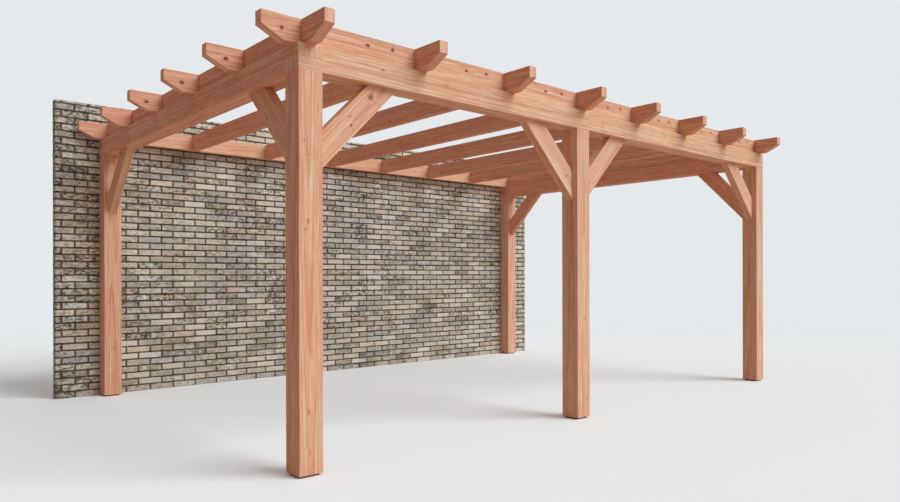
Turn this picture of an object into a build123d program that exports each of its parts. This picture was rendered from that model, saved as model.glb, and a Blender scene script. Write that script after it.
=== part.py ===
"""Lean-to veranda: an open timber frame on five posts that stands against a brick wall.

Millimetres, +Z up. +X runs along the wall to the right and +Y runs back to the wall.
The origin is on the floor, in the middle of the whole part's plan.
"""
import os
from math import hypot

from build123d import *

os.makedirs("parts", exist_ok=True)

# Posts, and the thin foot under each one
post_side = 150.0
post_height = 2215.0
post_arris = 3.0
foot_side = 120.0
foot_height = 12.0

# Clear widths between the posts
left_bay = 2232.0
right_bay = 2791.0
side_bay = 3415.0

# Beams that lie on the posts, lapped into each other at the front corners
beam_height = 145.0
beam_arris = 3.0
lap_share = 0.5

# Rafters, and the boards of the same section that stand on the beams between and beside them
rafter_thickness = 65.0
rafter_height = 148.0
rafter_arris = 2.0
seat_depth = 8.0
left_bay_spaces = 3
right_bay_spaces = 4
side_tail_spaces = 5

# Tails: the ends that reach past the beams, bevelled below from the flat to the nose
tail_reach = 198.0
tail_flat = 60.0
tail_nose = 74.0

# Braces between the posts and the beams
brace_thickness = 65.0
brace_width = 150.0
brace_run = 546.0
brace_drop = 546.0
brace_arris = 2.0

# Brick wall that the frame stands against
wall_thickness = 100.0
wall_height = 2705.0
wall_overhang = 370.0

# Plan worked out from the sizes above, with the origin in the middle
half_share = 0.5
frame_width = post_side + left_bay + post_side + right_bay + post_side
frame_depth = post_side + side_bay + post_side
total_depth = tail_reach + frame_depth + wall_thickness
left_face = -frame_width * half_share
right_face = frame_width * half_share
front_face = tail_reach - total_depth * half_share
back_face = front_face + frame_depth
middle_post_x = left_face + post_side + left_bay
right_post_x = right_face - post_side
rear_post_y = back_face - post_side

# Heights
beam_bottom = foot_height + post_height
beam_top = beam_bottom + beam_height
rafter_bottom = beam_top - seat_depth
roof_top = rafter_bottom + rafter_height
board_height = rafter_height - seat_depth
lap_height = beam_height * lap_share

# Rafters, plate and blocking run down the middle of the posts, and so do the braces
rafter_inset = (post_side - rafter_thickness) * half_share
brace_inset = (post_side - brace_thickness) * half_share
plate_front = rear_post_y + rafter_inset
plate_back = plate_front + rafter_thickness
left_bay_pitch = (middle_post_x - left_face) / left_bay_spaces
right_bay_pitch = (right_post_x - middle_post_x) / right_bay_spaces
side_tail_pitch = (rear_post_y - front_face) / side_tail_spaces
left_bay_rafters = [left_face + step * left_bay_pitch + rafter_inset for step in range(left_bay_spaces)]
right_bay_rafters = [
    middle_post_x + step * right_bay_pitch + rafter_inset for step in range(right_bay_spaces + 1)
]
rafter_lefts = left_bay_rafters + right_bay_rafters

corner = (Align.MIN, Align.MIN)

# Posts and feet
post_corners = {
    "front_left": (left_face, front_face),
    "front_middle": (middle_post_x, front_face),
    "front_right": (right_post_x, front_face),
    "rear_left": (left_face, rear_post_y),
    "rear_right": (right_post_x, rear_post_y),
}
foot_inset = (post_side - foot_side) * half_share

for place, (post_x, post_y) in post_corners.items():
    with BuildPart() as post:
        with BuildSketch(Plane.XY.offset(foot_height)):
            with Locations((post_x, post_y)):
                Rectangle(post_side, post_side, align=corner)
        extrude(amount=post_height)
        chamfer(post.edges().filter_by(Axis.Z), post_arris)
    post.part.label = f"post_{place}"
    export_step(post.part, f"parts/post_{place}.step")

    with BuildPart() as foot:
        with BuildSketch(Plane.XY):
            with Locations((post_x + foot_inset, post_y + foot_inset)):
                Rectangle(foot_side, foot_side, align=corner)
        extrude(amount=foot_height)
    foot.part.label = f"foot_{place}"
    export_step(foot.part, f"parts/foot_{place}.step")

# Front beam: its upper half is cut away at both ends, where the side beams lie over it
with BuildPart() as front_beam:
    with BuildSketch(Plane.XZ.offset(-front_face)):
        with Locations((left_face, beam_bottom)):
            Rectangle(frame_width, beam_height, align=corner)
        with Locations((left_face, beam_top - lap_height), (right_post_x, beam_top - lap_height)):
            Rectangle(post_side, lap_height, align=corner, mode=Mode.SUBTRACT)
    extrude(amount=-post_side)
    chamfer(front_beam.edges().filter_by(Axis.X).group_by(Axis.Z)[0], beam_arris)
front_beam.part.label = "front_beam"
export_step(front_beam.part, "parts/front_beam.step")

# Side beams: the lower half is cut away at the front, and the rear end meets the wall
side_beam_lefts = {"left_beam": left_face, "right_beam": right_post_x}

for node, beam_x in side_beam_lefts.items():
    with BuildPart() as side_beam:
        with BuildSketch(Plane.YZ.offset(beam_x)):
            with Locations((front_face, beam_bottom)):
                Rectangle(frame_depth, beam_height, align=corner)
                Rectangle(post_side, beam_height - lap_height, align=corner, mode=Mode.SUBTRACT)
        extrude(amount=post_side)
        chamfer(side_beam.edges().filter_by(Axis.Y).group_by(Axis.Z)[0], beam_arris)
    side_beam.part.label = node
    export_step(side_beam.part, f"parts/{node}.step")


def tailed_board(plane, beam_face, heel, seat_end=None):
    """A board on edge whose tail reaches past the beam, drawn on a plane with Z up.

    The tail points along the plane's minus X, from the beam's face. The heel is the other end.
    A board with a seat end is notched over the beam, and has its full height from there to the heel.
    """
    tip = beam_face - tail_reach
    underside = [(heel, beam_top)]
    if seat_end is not None:
        underside = [(seat_end, beam_top), (seat_end, rafter_bottom), (heel, rafter_bottom)]
    with BuildPart() as board:
        with BuildSketch(plane):
            with BuildLine():
                Polyline(
                    *underside,
                    (heel, roof_top),
                    (tip, roof_top),
                    (tip, roof_top - tail_nose),
                    (beam_face - tail_flat, beam_top),
                    close=True,
                )
            make_face()
        extrude(amount=rafter_thickness)
        chamfer(board.edges().filter_by(Axis(plane.origin, plane.x_dir)), rafter_arris)
    return board.part


# Rafters: the two outer ones lie on the side beams and run past the ends of the wall plate,
# and the others are notched over the front beam
for number, rafter_x in enumerate(rafter_lefts, start=1):
    outer = rafter_x in (rafter_lefts[0], rafter_lefts[-1])
    heel_y = plate_back if outer else plate_front
    seat_end = None if outer else front_face + post_side
    rafter = tailed_board(Plane.YZ.offset(rafter_x), front_face, heel_y, seat_end)
    rafter.label = f"rafter_{number}"
    export_step(rafter, f"parts/rafter_{number}.step")

# Short tails on the left side, from the outer rafter out over the left beam
for number in range(side_tail_spaces + 1):
    tail_front = front_face + rafter_inset + number * side_tail_pitch
    tail_plane = Plane.XZ.offset(-tail_front - rafter_thickness)
    tail = tailed_board(tail_plane, left_face, rafter_lefts[0])
    tail.label = f"left_tail_{number + 1}"
    export_step(tail, f"parts/left_tail_{number + 1}.step")

# Blocking on the front beam, one block between each two rafters
with BuildPart() as front_blocking:
    for left_rafter, right_rafter in zip(rafter_lefts, rafter_lefts[1:]):
        block_length = right_rafter - left_rafter - rafter_thickness
        with BuildSketch(Plane.XY.offset(beam_top)):
            with Locations((left_rafter + rafter_thickness, front_face + rafter_inset)):
                Rectangle(block_length, rafter_thickness, align=corner)
        extrude(amount=board_height)
    chamfer(front_blocking.edges().filter_by(Axis.X), rafter_arris)
front_blocking.part.label = "front_blocking"
export_step(front_blocking.part, "parts/front_blocking.step")

# Wall plate: notched over the side beams at its ends, and takes the inner rafters' heels
plate_left = rafter_lefts[0] + rafter_thickness
plate_seat = left_face + post_side - plate_left
with BuildPart() as wall_plate:
    with BuildSketch(Plane.XZ.offset(-plate_front)):
        with Locations((plate_left, rafter_bottom)):
            Rectangle(rafter_lefts[-1] - plate_left, rafter_height, align=corner)
        with Locations((plate_left, rafter_bottom), (right_post_x, rafter_bottom)):
            Rectangle(plate_seat, seat_depth, align=corner, mode=Mode.SUBTRACT)
    extrude(amount=-rafter_thickness)
    chamfer(wall_plate.edges().filter_by(Axis.X), rafter_arris)
wall_plate.part.label = "wall_plate"
export_step(wall_plate.part, "parts/wall_plate.step")

# Braces: mitred at both ends, to sit flat on the post and under the beam
brace_length = hypot(brace_run, brace_drop)
beam_seat = brace_width * brace_length / brace_drop
post_seat = brace_width * brace_length / brace_run


def brace_piece(plane, post_face, way):
    """A brace drawn on a plane with Z up, which leaves the post's face the given way along X."""
    with BuildPart() as brace:
        with BuildSketch(plane):
            with BuildLine():
                Polyline(
                    (post_face, beam_bottom - brace_drop),
                    (post_face, beam_bottom - brace_drop + post_seat),
                    (post_face + way * (brace_run - beam_seat), beam_bottom),
                    (post_face + way * brace_run, beam_bottom),
                    close=True,
                )
            make_face()
        extrude(amount=brace_thickness)
        chamfer(brace.edges().group_by(SortBy.LENGTH)[-1], brace_arris)
    return brace.part


towards_plus = 1
towards_minus = -1
front_plane = Plane.XZ.offset(-front_face - brace_inset - brace_thickness)
left_plane = Plane.YZ.offset(left_face + brace_inset)
right_plane = Plane.YZ.offset(right_post_x + brace_inset)
braces = {
    "brace_front_left": (front_plane, left_face + post_side, towards_plus),
    "brace_middle_left": (front_plane, middle_post_x, towards_minus),
    "brace_middle_right": (front_plane, middle_post_x + post_side, towards_plus),
    "brace_front_right": (front_plane, right_post_x, towards_minus),
    "brace_left_front": (left_plane, front_face + post_side, towards_plus),
    "brace_left_rear": (left_plane, rear_post_y, towards_minus),
    "brace_right_front": (right_plane, front_face + post_side, towards_plus),
    "brace_right_rear": (right_plane, rear_post_y, towards_minus),
}

for node, (plane, post_face, way) in braces.items():
    brace = brace_piece(plane, post_face, way)
    brace.label = node
    export_step(brace, f"parts/{node}.step")

# Brick wall
with BuildPart() as brick_wall:
    with BuildSketch(Plane.XY):
        with Locations((left_face - wall_overhang, back_face)):
            Rectangle(wall_overhang + frame_width + wall_overhang, wall_thickness, align=corner)
    extrude(amount=wall_height)
brick_wall.part.label = "brick_wall"
export_step(brick_wall.part, "parts/brick_wall.step")
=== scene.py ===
"""Dresses the lean-to veranda: a frame of planed fir on steel feet, before a wall of old bricks.

Metres, +Z up. +X runs along the wall to the right and +Y runs back to the wall, as in the CAD model.
"""

import logging
from dataclasses import dataclass, field
from enum import Enum
from math import hypot, pi, radians
from random import Random
from typing import Any

import bmesh
import bpy
from mathutils import Matrix, Vector


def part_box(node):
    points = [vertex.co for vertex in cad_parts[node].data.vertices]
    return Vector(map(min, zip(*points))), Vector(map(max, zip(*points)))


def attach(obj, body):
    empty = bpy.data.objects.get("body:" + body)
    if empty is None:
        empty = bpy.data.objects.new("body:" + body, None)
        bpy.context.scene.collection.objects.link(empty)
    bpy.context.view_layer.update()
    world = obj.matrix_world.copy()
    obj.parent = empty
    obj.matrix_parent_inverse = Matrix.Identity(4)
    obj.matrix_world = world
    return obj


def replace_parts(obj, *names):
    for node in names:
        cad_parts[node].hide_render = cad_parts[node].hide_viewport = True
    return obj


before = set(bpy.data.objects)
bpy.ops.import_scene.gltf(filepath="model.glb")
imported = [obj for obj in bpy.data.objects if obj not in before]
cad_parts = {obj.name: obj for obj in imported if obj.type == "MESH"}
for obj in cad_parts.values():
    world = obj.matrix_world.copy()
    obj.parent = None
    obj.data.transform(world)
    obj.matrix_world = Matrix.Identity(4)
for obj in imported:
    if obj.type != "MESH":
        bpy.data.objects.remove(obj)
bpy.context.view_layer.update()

log = logging.getLogger("veranda")

MM = 0.001
QUARTER_TURN = pi / 2.0
BODY = "root"
POST_PLACES = ("front_left", "front_middle", "front_right", "rear_left", "rear_right")
RAFTERS = 8
LEFT_TAILS = 6
KNOTS_PER_TIMBER = 6

# Directions along the axes
UP = Vector((0.0, 0.0, 1.0))
RIGHT = Vector((1.0, 0.0, 0.0))
LEFT = Vector((-1.0, 0.0, 0.0))
BACK = Vector((0.0, 1.0, 0.0))
FORWARD = Vector((0.0, -1.0, 0.0))

# The sRGB curve: a straight toe, then a power curve
BYTE_MAX = 255.0
TOE_END = 0.04045
TOE_SLOPE = 12.92
CURVE_LIFT = 0.055
CURVE_POWER = 2.4

# Short names for types
Outline = tuple[tuple[float, float], ...]
Span = tuple[float, float]
BMesh = bmesh.types.BMesh
Material = bpy.types.Material
Piece = bpy.types.Object
Scene = bpy.types.Scene
Socket = bpy.types.NodeSocket
Tree = bpy.types.NodeTree


class Slot(Enum):
    """Names of the veranda's material slots, which no piece in this script is given."""

    TIMBER = "timber"
    FOOT = "foot_steel"
    BRICK = "brick"
    MORTAR = "mortar"
    SCREW = "screw_steel"


class Course(Enum):
    """How a course begins at the wall's left end, with the share of its first brick that is cut off."""

    THREE_QUARTER_BRICK = 0.25
    QUARTER_BRICK = 0.75


def linear(hex_colour: str) -> tuple[float, float, float, float]:
    """Turns an sRGB hex colour into a linear colour.

    Args:
        hex_colour: Six hex digits after a hash sign.

    Returns:
        Red, green, blue and alpha, linear.
    """
    parts = [int(hex_colour[start : start + 2], 16) / BYTE_MAX for start in (1, 3, 5)]
    red, green, blue = (
        part / TOE_SLOPE if part <= TOE_END else ((part + CURVE_LIFT) / (1.0 + CURVE_LIFT)) ** CURVE_POWER
        for part in parts
    )
    return red, green, blue, 1.0


def add_node(
    tree: Tree,
    kind: str,
    inputs: dict[Any, Any] | None = None,
    stops: dict[float, str] | None = None,
    **settings: Any,
) -> bpy.types.Node:
    """Adds a node, sets its properties, and fills or links its inputs.

    Args:
        tree: Node tree of a material or of the world.
        kind: The node's type, such as ShaderNodeMath.
        inputs: Values or output sockets by the input's name or number.
        stops: Hex colours by place, for a colour ramp.
        settings: The node's own properties.

    Returns:
        The new node.
    """
    node = tree.nodes.new(kind)
    for name, value in settings.items():
        setattr(node, name, value)
    for key, value in (inputs or {}).items():
        if isinstance(value, Socket):
            tree.links.new(value, node.inputs[key])
        else:
            node.inputs[key].default_value = value
    for number, (place, colour) in enumerate((stops or {}).items()):
        elements = node.color_ramp.elements
        element = elements[number] if number < 2 else elements.new(place)
        element.position = place
        element.color = linear(colour)
    return node


def new_material(name: str) -> tuple[Material, Tree]:
    """Starts a material with an empty node tree.

    Args:
        name: What the real material is.

    Returns:
        The material and its node tree.
    """
    material = bpy.data.materials.new(name)
    material.use_nodes = True
    material.node_tree.nodes.clear()
    return material, material.node_tree


def close_material(tree: Tree, shader: bpy.types.Node) -> None:
    """Links a shader to the material's output."""
    add_node(tree, "ShaderNodeOutputMaterial", {"Surface": shader.outputs[0]})


@dataclass(frozen=True)
class PlanedFir:
    """Planed fir, oiled and unpainted: beige and salmon streaks along the grain, dull, with red knots."""

    early_wood: str = "#F7E3C1"
    heart_wood: str = "#F0B89E"
    late_wood: str = "#D28E73"
    knot_core: str = "#8E4E38"
    knot_rim: str = "#B0705A"
    fibre_shade: str = "#E6CBBE"
    end_pale: str = "#F6D2B7"
    end_dark: str = "#DDAD92"
    # Real rings and fibres are too fine to show in the render, so they are drawn coarser
    ring: float = 11.0 * MM
    ring_stretch: float = 0.02
    ring_waver: float = 2.2
    waver_layers: float = 2.0
    waver_scale: float = 0.7
    waver_roughness: float = 0.55
    late_span: Span = (0.35, 0.96)
    late_share: float = 0.45
    fibre: float = 6.0 * MM
    fibre_layers: float = 3.0
    band: float = 34.0 * MM
    band_layers: float = 2.0
    streak_stretch: float = 0.045
    streak_roughness: float = 0.6
    streak_span: Span = (0.28, 0.72)
    end_ring: float = 14.0 * MM
    end_stretch: float = 0.08
    end_layers: float = 1.0
    end_span: Span = (0.35, 0.65)
    end_share: float = 0.75
    # Pin knots are small ones all through the timber, beside the placed knots
    pin_knot: float = 5.0 * MM
    pin_spacing: float = 320.0 * MM
    knot_squeeze: float = 0.8
    knot_grain: float = 14.0 * MM
    knot_layers: float = 1.0
    knot_noise: Span = (0.3, 0.7)
    knot_swing: Span = (0.5, 1.8)
    knot_fall: float = -0.4
    knot_lift: float = 1.2 * pi
    knot_edge: Span = (2.1, 0.5)
    core_reach: float = 0.4
    halo_share: float = 0.55
    relief: float = 0.4 * MM
    relief_strength: float = 0.25
    smoothest: float = 0.56
    roughest: float = 0.72
    ior: float = 1.45
    gloss: float = 0.06

    def material(self) -> Material:
        """Builds the timber's material from each piece's own grain and knot attributes.

        Returns:
            The material.
        """
        material, tree = new_material("planed_fir")
        grain = add_node(tree, "ShaderNodeAttribute", attribute_name="grain").outputs["Vector"]
        tone = add_node(tree, "ShaderNodeAttribute", attribute_name="tone").outputs["Fac"]
        end = add_node(tree, "ShaderNodeAttribute", attribute_name="end").outputs["Fac"]
        nearness = self.knot_distance(tree, grain)
        lift = self.swell(tree, nearness)
        rings = self.rings(tree, grain, lift)
        fibres = self.streaks(tree, grain, self.fibre, self.fibre_layers)
        bands = self.streaks(tree, grain, self.band, self.band_layers)
        colour = self.colour(tree, rings, fibres, bands, tone)
        colour = self.knot_colour(tree, colour, nearness, lift)
        sawn = add_node(tree, "ShaderNodeMath", {0: end, 1: self.end_share}, operation="MULTIPLY")
        ended = add_node(
            tree,
            "ShaderNodeMix",
            {"Factor": sawn.outputs[0], "A": colour, "B": self.end_grain(tree, grain)},
            data_type="RGBA",
        )
        relief = add_node(tree, "ShaderNodeMath", {0: rings, 1: fibres}, operation="ADD")
        bump = add_node(
            tree,
            "ShaderNodeBump",
            {"Strength": self.relief_strength, "Distance": self.relief, "Height": relief.outputs[0]},
        )
        rough = add_node(
            tree,
            "ShaderNodeMapRange",
            {"Value": fibres, "To Min": self.smoothest, "To Max": self.roughest},
        )
        shader = add_node(
            tree,
            "ShaderNodeBsdfPrincipled",
            {
                "Base Color": ended.outputs["Result"],
                "Roughness": rough.outputs[0],
                "Normal": bump.outputs[0],
                "IOR": self.ior,
                "Specular IOR Level": self.gloss,
            },
        )
        close_material(tree, shader)
        return material

    def end_grain(self, tree: Tree, grain: Socket) -> Socket:
        """Draws the rings on a sawn end, where they stand upright side by side.

        Args:
            tree: The material's node tree.
            grain: The piece's grain coordinates.

        Returns:
            The end's colour.
        """
        upright = add_node(
            tree,
            "ShaderNodeVectorMath",
            {0: grain, 1: (self.end_stretch, self.end_stretch, 1.0)},
            operation="MULTIPLY",
        )
        lines = add_node(
            tree,
            "ShaderNodeTexNoise",
            {"Vector": upright.outputs[0], "Scale": 1.0 / self.end_ring, "Detail": self.end_layers},
        )
        begin, full = self.end_span
        share = add_node(
            tree,
            "ShaderNodeMapRange",
            {"Value": lines.outputs["Fac"], "From Min": begin, "From Max": full},
        )
        return add_node(
            tree,
            "ShaderNodeMix",
            {"Factor": share.outputs[0], "A": linear(self.end_dark), "B": linear(self.end_pale)},
            data_type="RGBA",
        ).outputs["Result"]

    def knot_distance(self, tree: Tree, grain: Socket) -> Socket:
        """Finds how far a point is from the nearest knot.

        Args:
            tree: The material's node tree.
            grain: The piece's grain coordinates.

        Returns:
            Square of the distance, in radii of that knot.
        """
        pins = add_node(tree, "ShaderNodeTexVoronoi", {"Vector": grain, "Scale": 1.0 / self.pin_spacing})
        scaled = add_node(
            tree,
            "ShaderNodeMath",
            {0: pins.outputs["Distance"], 1: self.pin_spacing / self.pin_knot},
            operation="MULTIPLY",
        )
        squared = add_node(tree, "ShaderNodeMath", {0: scaled.outputs[0], 1: 2.0}, operation="POWER")
        nearest = squared.outputs[0]
        for number in range(KNOTS_PER_TIMBER):
            knot = add_node(tree, "ShaderNodeAttribute", attribute_name=f"knot_{number + 1}")
            flat = add_node(
                tree,
                "ShaderNodeVectorMath",
                {0: knot.outputs["Vector"], 1: (self.knot_squeeze, 1.0, 1.0)},
                operation="MULTIPLY",
            )
            square = add_node(
                tree,
                "ShaderNodeVectorMath",
                {0: flat.outputs[0], 1: flat.outputs[0]},
                operation="DOT_PRODUCT",
            )
            nearest = add_node(
                tree,
                "ShaderNodeMath",
                {0: nearest, 1: square.outputs["Value"]},
                operation="MINIMUM",
            ).outputs[0]
        ragged = add_node(
            tree,
            "ShaderNodeTexNoise",
            {"Vector": grain, "Scale": 1.0 / self.knot_grain, "Detail": self.knot_layers},
        )
        (low, high), (least, most) = self.knot_noise, self.knot_swing
        uneven = add_node(
            tree,
            "ShaderNodeMapRange",
            {
                "Value": ragged.outputs["Fac"],
                "From Min": low,
                "From Max": high,
                "To Min": least,
                "To Max": most,
            },
        )
        return add_node(
            tree,
            "ShaderNodeMath",
            {0: nearest, 1: uneven.outputs[0]},
            operation="MULTIPLY",
        ).outputs[0]

    def swell(self, tree: Tree, nearness: Socket) -> Socket:
        """Finds how far the rings are lifted round a knot, from 1 in it to 0 away from it.

        Args:
            tree: The material's node tree.
            nearness: Square of the distance from the nearest knot.

        Returns:
            The lift.
        """
        fall = add_node(tree, "ShaderNodeMath", {0: nearness, 1: self.knot_fall}, operation="MULTIPLY")
        return add_node(tree, "ShaderNodeMath", {0: fall.outputs[0]}, operation="EXPONENT").outputs[0]

    def rings(self, tree: Tree, grain: Socket, lift: Socket) -> Socket:
        """Draws the growth rings round the pith.

        Args:
            tree: The material's node tree.
            grain: The piece's grain coordinates, with the pith at zero.
            lift: How far the rings are lifted round a knot.

        Returns:
            Share of late wood, from 0 to 1.
        """
        stretched = add_node(
            tree,
            "ShaderNodeMapping",
            {"Vector": grain, "Scale": (self.ring_stretch, 1.0, 1.0)},
        )
        phase = add_node(tree, "ShaderNodeMath", {0: lift, 1: self.knot_lift}, operation="MULTIPLY")
        # The wave node draws ten rings in a length of pi at a scale of 1
        wave = add_node(
            tree,
            "ShaderNodeTexWave",
            {
                "Vector": stretched.outputs[0],
                "Scale": pi / (10.0 * self.ring),
                "Distortion": self.ring_waver,
                "Detail": self.waver_layers,
                "Detail Scale": self.waver_scale,
                "Detail Roughness": self.waver_roughness,
                "Phase Offset": phase.outputs[0],
            },
            wave_type="RINGS",
            rings_direction="X",
            wave_profile="SAW",
        )
        begin, full = self.late_span
        late = add_node(
            tree,
            "ShaderNodeMapRange",
            {"Value": wave.outputs["Fac"], "From Min": begin, "From Max": full},
            interpolation_type="SMOOTHSTEP",
        )
        return late.outputs[0]

    def streaks(self, tree: Tree, grain: Socket, width: float, layers: float) -> Socket:
        """Draws streaks of about one width that run along the grain.

        Args:
            tree: The material's node tree.
            grain: The piece's grain coordinates.
            width: Width of a streak.
            layers: Number of finer layers.

        Returns:
            The streaks, from 0 to 1.
        """
        stretched = add_node(
            tree,
            "ShaderNodeMapping",
            {"Vector": grain, "Scale": (self.streak_stretch, 1.0, 1.0)},
        )
        noise = add_node(
            tree,
            "ShaderNodeTexNoise",
            {
                "Vector": stretched.outputs[0],
                "Scale": 1.0 / width,
                "Detail": layers,
                "Roughness": self.streak_roughness,
            },
        )
        begin, full = self.streak_span
        spread = add_node(
            tree,
            "ShaderNodeMapRange",
            {"Value": noise.outputs["Fac"], "From Min": begin, "From Max": full},
        )
        return spread.outputs[0]

    def colour(self, tree: Tree, rings: Socket, fibres: Socket, bands: Socket, tone: Socket) -> Socket:
        """Mixes the clear timber's colour.

        Args:
            tree: The material's node tree.
            rings: Share of late wood.
            fibres: Fine streaks.
            bands: Broad streaks of tan and salmon.
            tone: The piece's own shift towards salmon, which on the rafters and the right beam is partly
                painted shade.

        Returns:
            The colour.
        """
        shifted = add_node(tree, "ShaderNodeMath", {0: bands, 1: tone}, operation="ADD", use_clamp=True)
        base = add_node(
            tree,
            "ShaderNodeMix",
            {"Factor": shifted.outputs[0], "A": linear(self.early_wood), "B": linear(self.heart_wood)},
            data_type="RGBA",
        )
        share = add_node(tree, "ShaderNodeMath", {0: rings, 1: self.late_share}, operation="MULTIPLY")
        ringed = add_node(
            tree,
            "ShaderNodeMix",
            {"Factor": share.outputs[0], "A": base.outputs["Result"], "B": linear(self.late_wood)},
            data_type="RGBA",
        )
        streaked = add_node(
            tree,
            "ShaderNodeMix",
            {"Factor": fibres, "A": ringed.outputs["Result"], "B": linear(self.fibre_shade)},
            data_type="RGBA",
            blend_type="MULTIPLY",
        )
        return streaked.outputs["Result"]

    def knot_colour(self, tree: Tree, clear: Socket, nearness: Socket, lift: Socket) -> Socket:
        """Lays the knots, and the redder wood round them, over the clear timber.

        Args:
            tree: The material's node tree.
            clear: Colour of the clear timber.
            nearness: Square of the distance from the nearest knot.
            lift: How far the rings are lifted round a knot.

        Returns:
            The colour.
        """
        halo = add_node(tree, "ShaderNodeMath", {0: lift, 1: self.halo_share}, operation="MULTIPLY")
        redder = add_node(
            tree,
            "ShaderNodeMix",
            {"Factor": halo.outputs[0], "A": clear, "B": linear(self.late_wood)},
            data_type="RGBA",
        )
        core = add_node(
            tree,
            "ShaderNodeValToRGB",
            {"Fac": nearness},
            stops={0.0: self.knot_core, self.core_reach: self.knot_core, 1.0: self.knot_rim},
        )
        begin, full = self.knot_edge
        mask = add_node(
            tree,
            "ShaderNodeMapRange",
            {"Value": nearness, "From Min": begin, "From Max": full},
            interpolation_type="SMOOTHSTEP",
        )
        knotted = add_node(
            tree,
            "ShaderNodeMix",
            {"Factor": mask.outputs[0], "A": redder.outputs["Result"], "B": core.outputs["Color"]},
            data_type="RGBA",
        )
        return knotted.outputs["Result"]


@dataclass(frozen=True)
class Patch:
    """A kind of patch on the bricks: its length, the noise where it begins and is full, and its flatness."""

    length: float
    begin: float
    full: float
    flatness: float


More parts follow.
